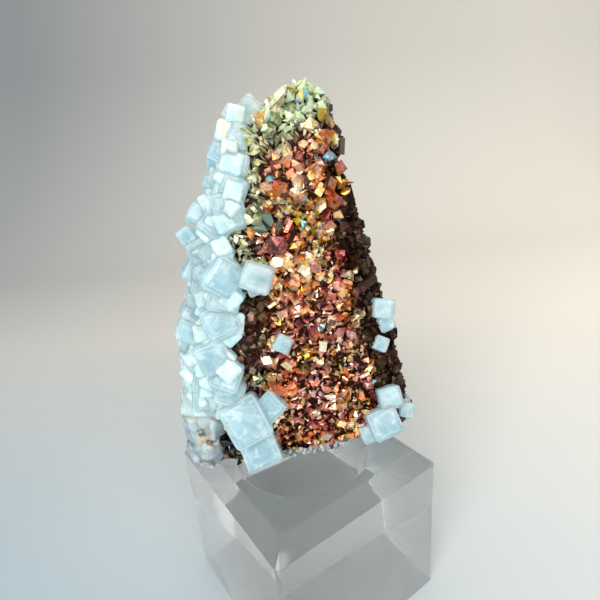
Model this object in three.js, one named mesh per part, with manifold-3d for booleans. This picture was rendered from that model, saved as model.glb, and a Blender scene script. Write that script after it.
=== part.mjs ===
// A cabinet mineral specimen on its clear display block: a steep wedge of iridescent pyrite,
// its skin one crust of small flat-faced crystals, with a band of pale fluorite cubes down the
// left side, a sugary fluorite foot below the band, and a few single fluorites on the pyrite.
// It all grew together, so the specimen is one solid, and the block it rests on is another.
// Lengths are in millimetres and +Z is up. The origin is the middle of the block's underside.
// The specimen has a frame of its own, in the middle of the block's top: s runs along its broad
// face, t runs away from that face into the stone, and z is the height above the block.
import * as THREE from "three";
import { ConvexGeometry } from "three/addons/geometries/ConvexGeometry.js";
import { mergeVertices } from "three/addons/utils/BufferGeometryUtils.js";
import Module from "manifold-3d";

// The clear block
const blockWidth = 40;
const blockHeight = 37.5;
const topChamfer = 3.2;
const cornerChamfer = 0.7;
const dishRadius = 15;
const dishLip = 2.4; // width of the ground step round the dish
const dishDepth = 3.2;

// The specimen
const specimenTurn = -25; // degrees about Z: the broad face turns towards the block's front corner
const seatGap = 0.3; // between the stone and the block
const stoneHeight = 71;

// The stone's bare skin: its reach to the left and right (s) and to the front and back (t)
// at each height z.
const skinSections = [
  { z: 0, left: -21.5, right: 26.3, front: -2.6, back: 12.5 },
  { z: 8, left: -20.8, right: 25.2, front: -2.5, back: 13 },
  { z: 20, left: -19, right: 22.4, front: -2, back: 12.5 },
  { z: 30, left: -17.2, right: 19.8, front: -1.5, back: 12 },
  { z: 40, left: -14.6, right: 17.3, front: -1, back: 11.5 },
  { z: 50, left: -11.6, right: 14.9, front: -0.5, back: 11 },
  { z: 60, left: -7.6, right: 12.3, front: 0, back: 10 },
  { z: 66, left: -5, right: 11.1, front: 0.4, back: 9.2 },
  { z: 69, left: -1.2, right: 9.8, front: 1.2, back: 8.2 },
  { z: stoneHeight, left: 3, right: 8.4, front: 2.8, back: 6.4 },
];
const leftSquareness = 2.8; // a section is a superellipse: 2 is an ellipse, more is squarer
const rightSquareness = 2.3;

// The pyrite crystals on the skin
const crystalPitch = 3.15; // mean spacing of the crystal bases
const crystalHeight = { low: 0.5, high: 1.8 };
const skinJitter = 0.3; // share of the pitch by which a base point wanders
const skinRelief = 0.45; // how far the skin waves in and out

// Where the fluorite band ends against the pyrite on the broad face, as (s, z) points.
const bandEdge = [
  { s: -16.5, z: 0 },
  { s: -16, z: 5 },
  { s: -14.5, z: 11 },
  { s: -12, z: 17 },
  { s: -11.8, z: 25 },
  { s: -9.6, z: 33 },
  { s: -9.4, z: 39 },
  { s: -10.4, z: 45 },
  { s: -7.2, z: 52 },
  { s: -6.6, z: 57 },
  { s: -5.4, z: 61 },
  { s: -4.6, z: 66 },
  { s: -1.4, z: 69 },
  { s: 1.5, z: 73 },
];
const footTop = 15.5; // height at which the sugary foot takes over from the cubes of the band
const bandTop = 67.5;
const bedThickness = 2.3;
const cutEdgesFrom = 5; // cubes smaller than this have sharp edges
const footThickness = 3;

// The cubes of the band that face the viewer: place on the broad face and edge length.
const bandCubes = [
  { s: -3.2, z: 67.6, size: 4.2 },
  { s: -5.8, z: 66, size: 3.8 },
  { s: -7.4, z: 64.2, size: 3.6 },
  { s: -6, z: 62.6, size: 3.8 },
  { s: -9, z: 61, size: 4.9 },
  { s: -6.6, z: 59.4, size: 4.3 },
  { s: -9.2, z: 57.2, size: 4.6 },
  { s: -7.8, z: 55.6, size: 4.6 },
  { s: -11.4, z: 56.6, size: 2.6 },
  { s: -9, z: 52, size: 6.5 },
  { s: -11.8, z: 49, size: 5.8 },
  { s: -14.6, z: 51.6, size: 3.6 },
  { s: -17, z: 48.2, size: 3 },
  { s: -12, z: 44.8, size: 5.3 },
  { s: -15, z: 45, size: 4.3 },
  { s: -11.8, z: 40.6, size: 6.7 },
  { s: -16.8, z: 41.6, size: 3.8 },
  { s: -15.6, z: 37.8, size: 5.3 },
  { s: -12.2, z: 36, size: 5.8 },
  { s: -12.9, z: 32.2, size: 7.2 },
  { s: -17.8, z: 34, size: 4.7 },
  { s: -19, z: 30, size: 5.5 },
  { s: -15.2, z: 25.2, size: 7.2 },
  { s: -19.4, z: 24.6, size: 4.9 },
  { s: -14, z: 20.2, size: 6.2 },
  { s: -18, z: 19.6, size: 5.3 },
  { s: -13.6, z: 16.6, size: 5.8 },
  { s: -18.4, z: 15.2, size: 5.3 },
  { s: -21.6, z: 13.4, size: 4.5 },
];
// More cubes wrap the band round the stone's left end.
const endCubes = { rows: 11, low: 16.5, high: 64, across: [3, 8.4], size: 5 };

// The grains of the sugary foot
const footGrains = { count: 36, small: 1.4, large: 2.8 };

// Single fluorites and small groups on the pyrite: turn is about the view axis, in degrees.
const singleFluorites = [
  // The big cubes at the front of the foot
  { s: -11, z: 11.6, size: 8.6, turn: -20, proud: 2.2 },
  { s: -6.2, z: 13.2, size: 5.4, turn: -38, proud: 1.2 },
  { s: -9.2, z: 5, size: 8.2, turn: -13, proud: 2 },
  // High on the face
  { s: -6, z: 40, size: 5.4, turn: 25, proud: 1 },
  { s: -5.6, z: 39.2, size: 4.6, turn: -15, proud: 0.9 },
  // Small, in mid face
  { s: -2.4, z: 26.1, size: 3.2, turn: 35, proud: 0.5 },
  // A pair on the right edge
  { s: 19, z: 28.8, size: 4.2, turn: 12, proud: 1 },
  { s: 19.8, z: 25.4, size: 3.4, turn: -20, proud: 0.8 },
  // Below the pair
  { s: 18, z: 21.6, size: 3, turn: 30, proud: 0.5 },
  // The group at the lower right
  { s: 19.4, z: 9, size: 5, turn: -6, proud: 0.8 },
  { s: 17.4, z: 4.2, size: 6.6, turn: -14, proud: 1.6 },
  { s: 14.2, z: 1.8, size: 3.4, turn: -10, proud: 0.8 },
  // Out at the right end of the base
  { s: 24.2, z: 3.2, size: 3.4, turn: 18, proud: 0.4 },
];

// Large pyrite octahedra that stand out of the crust, on the broad face.
const largeOctahedra = [
  { s: -4.5, z: 52, size: 3 },
  { s: -5.6, z: 45, size: 2.6 },
  { s: 6.4, z: 70.6, size: 2.6 },
  { s: 2.2, z: 70.2, size: 2.4 },
  { s: 9.6, z: 67.4, size: 2.4 },
  { s: 9.4, z: 62.5, size: 2.6 },
  { s: 1.6, z: 55.2, size: 2.4 },
  { s: 10.6, z: 54.4, size: 3.2 },
  { s: 2.6, z: 51.4, size: 2.4 },
  { s: 5.2, z: 29.8, size: 2.2 },
  { s: -8.6, z: 18.2, size: 2.8 },
  { s: 15.5, z: 33, size: 2.4 },
];
const scatteredOctahedra = { count: 30, small: 1.7, large: 2.6 };

const wasm = await Module();
wasm.setup();

// Numbers between 0 and 1 that come out the same on every run.
function randomFrom(seed) {
  let state = seed;
  return () => {
    state = (state + 0x6d2b79f5) | 0;
    let mixed = Math.imul(state ^ (state >>> 15), 1 | state);
    mixed = (mixed + Math.imul(mixed ^ (mixed >>> 7), 61 | mixed)) ^ mixed;
    return ((mixed ^ (mixed >>> 14)) >>> 0) / 4294967296;
  };
}

function between(low, high, share) {
  return low + (high - low) * share;
}

function solidOf(geometry) {
  const bare = new THREE.BufferGeometry();
  bare.setAttribute("position", geometry.getAttribute("position"));
  bare.setIndex(geometry.getIndex());
  const merged = mergeVertices(bare, 1e-4);
  return new wasm.Manifold(
    new wasm.Mesh({
      numProp: 3,
      vertProperties: new Float32Array(merged.getAttribute("position").array),
      triVerts: new Uint32Array(merged.getIndex().array),
    }),
  );
}

function geometryOf(solid) {
  const mesh = solid.getMesh();
  const geometry = new THREE.BufferGeometry();
  geometry.setAttribute("position", new THREE.BufferAttribute(new Float32Array(mesh.vertProperties), 3));
  geometry.setIndex(new THREE.BufferAttribute(new Uint32Array(mesh.triVerts), 1));
  geometry.computeVertexNormals();
  return geometry;
}

function joined(solids) {
  return solids.reduce((whole, piece) => whole.add(piece));
}

// Section of the stone at a height: centre and half widths, interpolated between the stated rows.
function sectionAt(z, swell = 0) {
  const height = THREE.MathUtils.clamp(z, 0, stoneHeight);
  const upper = Math.max(1, skinSections.findIndex((row) => row.z >= height));
  const [below, above] = [skinSections[upper - 1], skinSections[upper]];
  const share = (height - below.z) / (above.z - below.z);
  const [left, right, front, back] = ["left", "right", "front", "back"].map((side) =>
    between(below[side], above[side], share),
  );
  return {
    s: (left + right) / 2,
    t: (front + back) / 2,
    halfWidth: (right - left) / 2 + swell,
    halfDepth: (back - front) / 2 + swell,
  };
}

// Point of a section's outline in the direction of an angle; 0 is the right end, -90 the front.
function outlinePoint(section, angle) {
  const [c, d] = [Math.cos(angle), Math.sin(angle)];
  const power = c > 0 ? rightSquareness : leftSquareness;
  const reach = (Math.abs(c / section.halfWidth) ** power + Math.abs(d / section.halfDepth) ** power) ** (-1 / power);
  return new THREE.Vector2(section.s + c * reach, section.t + d * reach);
}

// The t of the stone's front or back surface at (s, z).
function surfaceT(s, z, side = "front") {
  const section = sectionAt(z);
  const power = s > section.s ? rightSquareness : leftSquareness;
  const across = Math.min(1, Math.abs(s - section.s) / section.halfWidth);
  const depth = section.halfDepth * (1 - across ** power) ** (1 / power);
  return section.t + (side === "front" ? -depth : depth);
}

function bandEdgeAt(z) {
  const upper = Math.max(1, bandEdge.findIndex((point) => point.z >= z));
  const [below, above] = [bandEdge[upper - 1], bandEdge[upper]];
  return between(below.s, above.s, (z - below.z) / (above.z - below.z));
}

// One ring of the skin: points at even steps along the outline, each moved a little by chance.
function skinRing(z, random) {
  const section = sectionAt(z);
  const steps = 240;
  const lengths = [0];
  for (let i = 1; i <= steps; i++) {
    const [a, b] = [i - 1, i].map((k) => outlinePoint(section, (k / steps) * 2 * Math.PI));
    lengths.push(lengths[i - 1] + a.distanceTo(b));
  }
  const count = Math.max(7, Math.round(lengths[steps] / crystalPitch));
  const offset = random();
  const rise = z === 0 ? 0 : skinJitter * crystalPitch * 1.2;
  return Array.from({ length: count }, (_, k) => {
    const wander = (random() - 0.5) * 2 * skinJitter;
    const target = (((k + offset + wander + count) % count) / count) * lengths[steps];
    const index = Math.min(steps - 1, lengths.findIndex((length) => length > target) - 1);
    const share = (target - lengths[index]) / (lengths[index + 1] - lengths[index]);
    const angle = ((index + share) / steps) * 2 * Math.PI;
    const flat = outlinePoint(section, angle);
    const wave = skinRelief * (Math.sin(3 * angle + z / 5) + Math.sin(5 * angle - z / 3)) * 0.5;
    flat.add(new THREE.Vector2(Math.cos(angle), Math.sin(angle)).multiplyScalar(wave));
    const point = new THREE.Vector3(flat.x, flat.y, z + (random() - 0.5) * rise);
    return { angle: (k + offset + wander) / count, point };
  }).sort((a, b) => a.angle - b.angle);
}

// Triangles between two rings of different counts, always closing the shorter diagonal.
function stitch(lower, upper, emit) {
  let [i, j] = [0, 0];
  const at = (ring, k) => ring[k % ring.length];
  const turnAt = (ring, k) => at(ring, k).angle + Math.floor(k / ring.length);
  while (i < lower.length || j < upper.length) {
    const stepLower = j >= upper.length || (i < lower.length && turnAt(lower, i + 1) <= turnAt(upper, j + 1));
    if (stepLower) {
      emit(at(lower, i).point, at(lower, i + 1).point, at(upper, j).point);
      i++;
    } else {
      emit(at(lower, i).point, at(upper, j + 1).point, at(upper, j).point);
      j++;
    }
  }
}

// The stone's crystal crust. Each triangle of the skin carries a three-sided crystal tip, except
// under the fluorite band and at the base, where it stays flat.
function crust() {
  const random = randomFrom(11);
  const rings = [];
  const rows = Math.round(stoneHeight / (crystalPitch * 0.87));
  for (let k = 0; k <= rows; k++) rings.push(skinRing((k / rows) * stoneHeight, random));
  const corners = [];
  const crystal = (a, b, c) => {
    const chance = [random(), random()];
    const middle = new THREE.Vector3().add(a).add(b).add(c).divideScalar(3);
    const isUnderBand = middle.x < bandEdgeAt(Math.min(middle.z, 72)) - 2;
    if (isUnderBand || middle.z < 0.8) return corners.push(a, b, c);
    const outward = new THREE.Vector3().crossVectors(b.clone().sub(a), c.clone().sub(a)).normalize();
    const lean = a.clone().lerp(b, chance[1]).sub(middle).multiplyScalar(0.35);
    const tip = middle.add(lean).addScaledVector(outward, between(crystalHeight.low, crystalHeight.high, chance[0]));
    return corners.push(a, b, tip, b, c, tip, c, a, tip);
  };
  for (let k = 0; k < rows; k++) stitch(rings[k], rings[k + 1], crystal);
  const [floor, crown] = [0, stoneHeight].map((z) => new THREE.Vector3(sectionAt(z).s, sectionAt(z).t, z * 1.008));
  rings[0].forEach(({ point }, k, ring) => corners.push(ring[(k + 1) % ring.length].point, point, floor));
  rings[rows].forEach(({ point }, k, ring) => crystal(point, ring[(k + 1) % ring.length].point, crown));
  return solidOf(new THREE.BufferGeometry().setFromPoints(corners));
}

// A pyrite octahedron with one tip pointing out of the crust, tilted by chance.
function octahedron(size, place, outward, random) {
  const geometry = new THREE.OctahedronGeometry(1);
  const stretch = new THREE.Vector3(between(0.7, 1, random()), between(0.9, 1.25, random()), between(0.7, 1, random()));
  geometry.scale(stretch.x * size * 0.62, stretch.y * size * 0.62, stretch.z * size * 0.62);
  geometry.rotateY(random() * Math.PI);
  geometry.rotateX(between(-0.5, 0.5, random()));
  geometry.applyQuaternion(new THREE.Quaternion().setFromUnitVectors(new THREE.Vector3(0, 1, 0), outward));
  geometry.translate(place.x, place.y, place.z);
  return solidOf(geometry);
}

// All the large octahedra: the stated ones on the broad face, then more by chance all round.
function octahedra() {
  const random = randomFrom(5);
  const solids = largeOctahedra.map(({ s, z, size }) => {
    const place = new THREE.Vector3(s, surfaceT(s, z), z);
    return octahedron(size, place, new THREE.Vector3(0, -1, 0.15).normalize(), random);
  });
  for (let k = 0; k < scatteredOctahedra.count; k++) {
    const z = between(2, 68, random());
    const angle = random() * 2 * Math.PI;
    const flat = outlinePoint(sectionAt(z), angle);
    const size = between(scatteredOctahedra.small, scatteredOctahedra.large, random());
    const outward = new THREE.Vector3(flat.x - sectionAt(z).s, (flat.y - sectionAt(z).t) * 2, 3).normalize();
    const solid = octahedron(size, new THREE.Vector3(flat.x, flat.y, z), outward, random);
    if (flat.x > bandEdgeAt(z) + 1.5) solids.push(solid);
  }
  return joined(solids);
}

// How far a cube at this height leans back: those lower down lean more.
function leanAt(z) {
  return between(-0.5, -0.1, z / stoneHeight);
}

// A cube with its edges cut back, the usual habit of the pale fluorite. It is turned about the
// view axis and then leans back from the broad face.
function fluoriteCube(size, place, turn, lean) {
  const half = size / 2;
  const inner = size < cutEdgesFrom ? half : half * 0.8;
  const corners = [];
  for (const x of [-1, 1])
    for (const y of [-1, 1])
      for (const z of [-1, 1]) {
        corners.push(new THREE.Vector3(x * half, y * inner, z * inner));
        corners.push(new THREE.Vector3(x * inner, y * half, z * inner));
        corners.push(new THREE.Vector3(x * inner, y * inner, z * half));
      }
  const geometry = new ConvexGeometry(corners);
  geometry.rotateY(turn);
  geometry.rotateZ(turn * 0.3);
  geometry.rotateX(lean);
  geometry.translate(place.x, place.y, place.z);
  return solidOf(geometry);
}

function singleCrystals() {
  return joined(
    singleFluorites.map(({ s, z, size, turn, proud }) => {
      const place = new THREE.Vector3(s, surfaceT(s, z) - proud, z);
      return fluoriteCube(size, place, THREE.MathUtils.degToRad(turn), leanAt(z));
    }),
  );
}

// A smooth copy of the stone, swollen by a thickness: beds for the pale crusts are cut from it.
function swollenStone(thickness) {
  const corners = [];
  const rows = 14;
  const sides = 28;
  const ring = (k) => {
    const z = k === rows ? stoneHeight + thickness : (k / rows) * stoneHeight;
    const section = sectionAt(z, thickness);
    return Array.from({ length: sides }, (_, i) => {
      const flat = outlinePoint(section, (i / sides) * 2 * Math.PI);
      return new THREE.Vector3(flat.x, flat.y, z);
    });
  };
  for (let k = 0; k <= rows; k++) {
    const lower = ring(k);
    if (k < rows) {
      const upper = ring(k + 1);
      lower.forEach((point, i) => {
        const next = (i + 1) % sides;
        corners.push(point, lower[next], upper[next], point, upper[next], upper[i]);
      });
    }
    if (k === 0) for (let i = 1; i < sides - 1; i++) corners.push(lower[0], lower[i + 1], lower[i]);
    if (k === rows) for (let i = 1; i < sides - 1; i++) corners.push(lower[0], lower[i], lower[i + 1]);
  }
  return solidOf(new THREE.BufferGeometry().setFromPoints(corners));
}

// The part of the swollen stone that lies left of the band's edge, between two heights.
function bed(thickness, low, high, depth) {
  const shape = new THREE.Shape();
  shape.moveTo(-60, low);
  const inside = bandEdge.filter((point) => point.z > low && point.z < high);
  shape.lineTo(bandEdgeAt(low), low);
  inside.forEach((point) => shape.lineTo(point.s - 0.4, point.z));
  shape.lineTo(bandEdgeAt(high), high);
  shape.lineTo(-60, high);
  const geometry = new THREE.ExtrudeGeometry(shape, { depth, bevelEnabled: false });
  geometry.rotateX(Math.PI / 2);
  geometry.translate(0, depth - 10, 0);
  return swollenStone(thickness).intersect(solidOf(geometry));
}

// The cubes of the band: those that face the viewer, and rows of others round the left end.
function bandCrystals() {
  const random = randomFrom(23);
  const solids = bandCubes.map(({ s, z, size }) => {
    const section = sectionAt(z);
    const isOutside = s < section.s - section.halfWidth + 1;
    const t = isOutside ? section.t - section.halfDepth * 0.45 : surfaceT(s, z) - size * 0.12;
    const turn = between(-0.8, 0.8, random());
    return fluoriteCube(size, new THREE.Vector3(s, t, z), turn, leanAt(z) + between(-0.35, 0.35, random()));
  });
  for (let row = 0; row < endCubes.rows; row++) {
    const z = between(endCubes.low, endCubes.high, row / (endCubes.rows - 1));
    const section = sectionAt(z);
    for (const across of endCubes.across) {
      const t = Math.min(across + between(-0.8, 0.8, random()), section.t + section.halfDepth * 0.8);
      const bulge = 1 - Math.abs((t - section.t) / section.halfDepth) ** leftSquareness;
      const s = section.s - section.halfWidth * bulge ** (1 / leftSquareness) - (z > 50 ? 0.4 : 1.1);
      const size = endCubes.size * between(0.7, 1.15, random()) * (z > 50 ? 0.75 : 1);
      const place = new THREE.Vector3(s, t, z);
      solids.push(fluoriteCube(size, place, between(-0.7, 0.7, random()), between(-0.4, 0.4, random())));
    }
  }
  return joined(solids);
}

// The small grains of the sugary foot, on the front and round the left end.
function grains() {
  const random = randomFrom(31);
  const solids = [];
  for (let k = 0; k < footGrains.count; k++) {
    const z = between(0.8, footTop - 1.4, random());
    const angle = between(0.78, 1.34, random()) * Math.PI;
    const flat = outlinePoint(sectionAt(z, footThickness - 0.7), angle);
    const size = between(footGrains.small, footGrains.large, random());
    const solid = fluoriteCube(size, new THREE.Vector3(flat.x, flat.y, z), random() * 1.5, random() * 1.5);
    if (flat.x < bandEdgeAt(z) - 0.6) solids.push(solid);
  }
  return joined(solids);
}

// The block: a chamfered box with a shallow ground dish in its top.
function displayBlock() {
  const half = blockWidth / 2;
  const shoulder = blockHeight - topChamfer;
  const corners = [];
  for (const x of [-1, 1])
    for (const y of [-1, 1]) {
      for (const z of [0, shoulder]) {
        corners.push(new THREE.Vector3(x * half, y * (half - cornerChamfer), z));
        corners.push(new THREE.Vector3(x * (half - cornerChamfer), y * half, z));
      }
      corners.push(new THREE.Vector3(x * (half - topChamfer), y * (half - topChamfer), blockHeight));
    }
  const bowlRadius = dishRadius - dishLip;
  const bowlTop = 1.3;
  const bowlSteps = 4;
  const profile = [new THREE.Vector2(0, -dishDepth)];
  for (let k = 1; k <= bowlSteps; k++) {
    const share = k / bowlSteps;
    profile.push(new THREE.Vector2(bowlRadius * share, between(-dishDepth, -bowlTop, share ** 2)));
  }
  profile.push(new THREE.Vector2(dishRadius - 0.7, -0.8), new THREE.Vector2(dishRadius, 0));
  profile.push(new THREE.Vector2(dishRadius, 2), new THREE.Vector2(0, 2));
  const dish = new THREE.LatheGeometry(profile, 40);
  dish.rotateX(Math.PI / 2);
  dish.translate(0, 0, blockHeight);
  return solidOf(new ConvexGeometry(corners)).subtract(solidOf(dish));
}

// The whole stone, cut flat where it rests.
function stoneSolid() {
  const underside = new THREE.BoxGeometry(120, 120, 20);
  underside.translate(0, 0, -10);
  const band = bandCrystals().add(bed(bedThickness, footTop, bandTop, 24));
  const foot = grains().add(bed(footThickness, -1, footTop, 24));
  return joined([crust(), octahedra(), band, foot, singleCrystals()]).subtract(solidOf(underside));
}

const finishes = {
  clear: { color: 0xe8eeee, roughness: 0.03, metalness: 0 },
  stone: { color: 0x8a4a2c, roughness: 0.25, metalness: 1 },
};

function mesh(name, solid, finish) {
  const made = new THREE.Mesh(geometryOf(solid), new THREE.MeshStandardMaterial(finish));
  made.name = name;
  return made;
}

const specimen = mesh("pyrite_specimen", stoneSolid(), finishes.stone);
specimen.position.z = blockHeight + seatGap;
specimen.rotation.z = THREE.MathUtils.degToRad(specimenTurn);

const part = new THREE.Group();
part.add(mesh("display_block", displayBlock(), finishes.clear), specimen);

export default part;
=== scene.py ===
import itertools
import math

import bmesh
import bpy
import numpy as np
from mathutils import Matrix, Quaternion, Vector, noise


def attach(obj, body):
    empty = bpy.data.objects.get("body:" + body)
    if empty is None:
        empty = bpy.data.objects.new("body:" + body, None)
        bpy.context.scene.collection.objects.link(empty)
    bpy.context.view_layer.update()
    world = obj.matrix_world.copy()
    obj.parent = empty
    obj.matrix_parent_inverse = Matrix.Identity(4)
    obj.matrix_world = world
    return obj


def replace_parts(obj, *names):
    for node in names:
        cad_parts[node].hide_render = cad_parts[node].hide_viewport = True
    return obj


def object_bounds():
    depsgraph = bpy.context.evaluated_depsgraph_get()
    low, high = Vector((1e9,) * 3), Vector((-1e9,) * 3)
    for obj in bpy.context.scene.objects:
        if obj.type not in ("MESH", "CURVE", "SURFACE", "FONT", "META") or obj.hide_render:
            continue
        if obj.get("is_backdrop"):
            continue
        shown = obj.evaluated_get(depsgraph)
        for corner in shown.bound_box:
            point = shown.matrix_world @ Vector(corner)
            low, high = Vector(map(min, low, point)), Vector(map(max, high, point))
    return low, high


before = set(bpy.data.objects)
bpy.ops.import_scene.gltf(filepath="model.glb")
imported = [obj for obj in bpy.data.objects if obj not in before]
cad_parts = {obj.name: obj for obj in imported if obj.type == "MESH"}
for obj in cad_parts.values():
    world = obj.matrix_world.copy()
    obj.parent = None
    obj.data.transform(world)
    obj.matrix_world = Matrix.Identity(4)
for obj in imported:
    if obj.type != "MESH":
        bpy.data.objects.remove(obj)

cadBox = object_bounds()
mm = 0.001  # everything below is in millimetres until it goes into a mesh

# The stone's own frame: s along its broad face, t away from it into the stone, z above the block
stone = {
    "turn": -25.0,  # degrees about Z
    "seat": 37.8,
    "height": 71.0,
    "leftSquareness": 2.8,
    "rightSquareness": 2.3,
    "lumps": 0.6,  # how far the skin swells in and out
    "lumpSize": 9.0,
}
skinRows = [  # z, then reach to the left, right, front and back
    (0, -21.5, 26.3, -2.6, 12.5),
    (8, -20.8, 25.2, -2.5, 13),
    (20, -19, 22.4, -2, 12.5),
    (30, -17.2, 19.8, -1.5, 12),
    (40, -14.6, 17.3, -1, 11.5),
    (50, -11.6, 14.9, -0.5, 11),
    (60, -7.6, 12.3, 0, 10),
    (66, -5, 11.1, 0.4, 9.2),
    (69, -1.2, 9.8, 1.2, 8.2),
    (71, 3, 8.4, 2.8, 6.4),
]
skinHeights, leftReach, rightReach, frontReach, backReach = zip(*skinRows)
bandEdge = [  # z and s of the line where the pale band meets the pyrite
    (0, -16.5), (5, -16), (11, -14.5), (17, -12), (25, -11.8), (33, -9.6), (39, -9.4), (45, -10.4),
    (52, -7.2), (57, -6.6), (61, -5.4), (66, -4.6), (69, -1.4), (73, 1.5),
]


def bandEdgeAt(z):
    return float(np.interp(z, *zip(*bandEdge)))


def reachAt(z, side):
    return float(np.interp(z, skinHeights, side))


def sectionAt(z):  # the middle of the stone's section at a height, and half its width and depth
    left, right, front, back = (reachAt(z, side) for side in (leftReach, rightReach, frontReach, backReach))
    return (left + right) / 2, (front + back) / 2, (right - left) / 2, (back - front) / 2


def outlinePoint(section, angle):  # round a squarish oval, squarer at its left end
    s, t, halfWidth, halfDepth = section
    c, d = math.cos(angle), math.sin(angle)
    power = stone["rightSquareness"] if c > 0 else stone["leftSquareness"]
    reach = (abs(c / halfWidth) ** power + abs(d / halfDepth) ** power) ** (-1 / power)
    return Vector((s + c * reach, t + d * reach))


def surfaceT(s, z):  # how deep the front of the stone lies
    middle, t, halfWidth, halfDepth = sectionAt(z)
    power = stone["rightSquareness"] if s > middle else stone["leftSquareness"]
    across = min(1, abs(s - middle) / halfWidth)
    return t - halfDepth * (1 - across ** power) ** (1 / power)


def lump(point):
    return noise.noise(point / stone["lumpSize"]) * 2 * stone["lumps"]


def skinPoint(z, angle, swell=0.0):  # a point on the skin and the way the skin faces there
    def bare(height, a):
        return Vector((*outlinePoint(sectionAt(height), a), height))

    turn, rise = 0.03, 0.8  # steps aside and up that give the slope
    here = bare(z, angle)
    along = bare(z, angle + turn) - bare(z, angle - turn)
    up = bare(min(z + rise, stone["height"]), angle) - bare(max(z - rise, 0), angle)
    facing = along.cross(up).normalized()
    return here + facing * (swell + lump(here)), facing


def evenAngles(z, spacing, rng):  # angles that step evenly along the outline, each a little off
    samples, fewest, jitter = 181, 5, 0.4
    angles = np.linspace(0, 2 * math.pi, samples)
    points = np.array([outlinePoint(sectionAt(z), a) for a in angles])
    walked = np.concatenate([[0], np.cumsum(np.hypot(*np.diff(points, axis=0).T))])
    count = max(fewest, round(walked[-1] / spacing))
    steps = (np.arange(count) + rng.random() + rng.uniform(-jitter, jitter, count)) % count
    return np.interp(steps / count * walked[-1], walked, angles)


def toRow(points):  # from the stone's frame in mm to the part's own frame in metres
    a = math.radians(stone["turn"])
    spin = np.array([[math.cos(a), -math.sin(a), 0], [math.sin(a), math.cos(a), 0], [0, 0, 1]])
    return (np.asarray(points) @ spin.T + [0, 0, stone["seat"]]) * mm


def seededFrom(seed):  # the same chance numbers as the solid's, so that the cubes lie alike
    state = seed
    while True:
        state = (state + 0x6D2B79F5) & 0xFFFFFFFF
        mixed = ((state ^ state >> 15) * (1 | state)) & 0xFFFFFFFF
        mixed ^= (mixed + ((mixed ^ mixed >> 7) * (61 | mixed) & 0xFFFFFFFF)) & 0xFFFFFFFF
        yield ((mixed ^ mixed >> 14) & 0xFFFFFFFF) / 4294967296


class Pile:  # many small crystals gathered into one mesh
    def __init__(self, name):
        self.name, self.points, self.faces, self.size = name, [], [], 0
        self.perFace, self.perPoint = {}, {}

    def add(self, points, faces, perFace, perPoint):
        self.points.append(points)
        self.faces += [tuple(i + self.size for i in face) for face in faces]
        self.size += len(points)
        for key, value in perFace.items():
            self.perFace.setdefault(key, []).append(np.broadcast_to(value, len(faces)))
        for key, value in perPoint.items():
            self.perPoint.setdefault(key, []).append(np.broadcast_to(value, len(points)))

    def build(self, finish, slot, smoothBelow=0):  # edges are smooth where they bend less, in degrees
        mesh = bpy.data.meshes.new(self.name)
        mesh.from_pydata(toRow(np.concatenate(self.points)).tolist(), [], self.faces)
        for domain, table in (("FACE", self.perFace), ("POINT", self.perPoint)):
            for key, values in table.items():
                kept = mesh.attributes.new(key, "FLOAT", domain)
                kept.data.foreach_set("value", np.concatenate(values).astype(np.float32))
        if smoothBelow:
            mesh.shade_smooth()
            mesh.set_sharp_from_angle(angle=math.radians(smoothBelow))
        mesh.materials.append(finish.material)
        made = bpy.data.objects.new(self.name, mesh)
        bpy.context.collection.objects.link(made)
        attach(made, "root")
        return made


class Value:  # a node's output that takes part in arithmetic
    def __init__(self, finish, output):
        self.finish, self.output = finish, output

    def maths(self, operation, a, b):
        return self.finish.node("ShaderNodeMath", {"operation": operation}, {0: a, 1: b})

    def __add__(self, other):
        return self.maths("ADD", self, other)

    def __sub__(self, other):
        return self.maths("SUBTRACT", self, other)

    def __rsub__(self, other):
        return self.maths("SUBTRACT", other, self)

    def __mul__(self, other):
        return self.maths("MULTIPLY", self, other)

    __radd__ = __add__
    __rmul__ = __mul__


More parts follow.
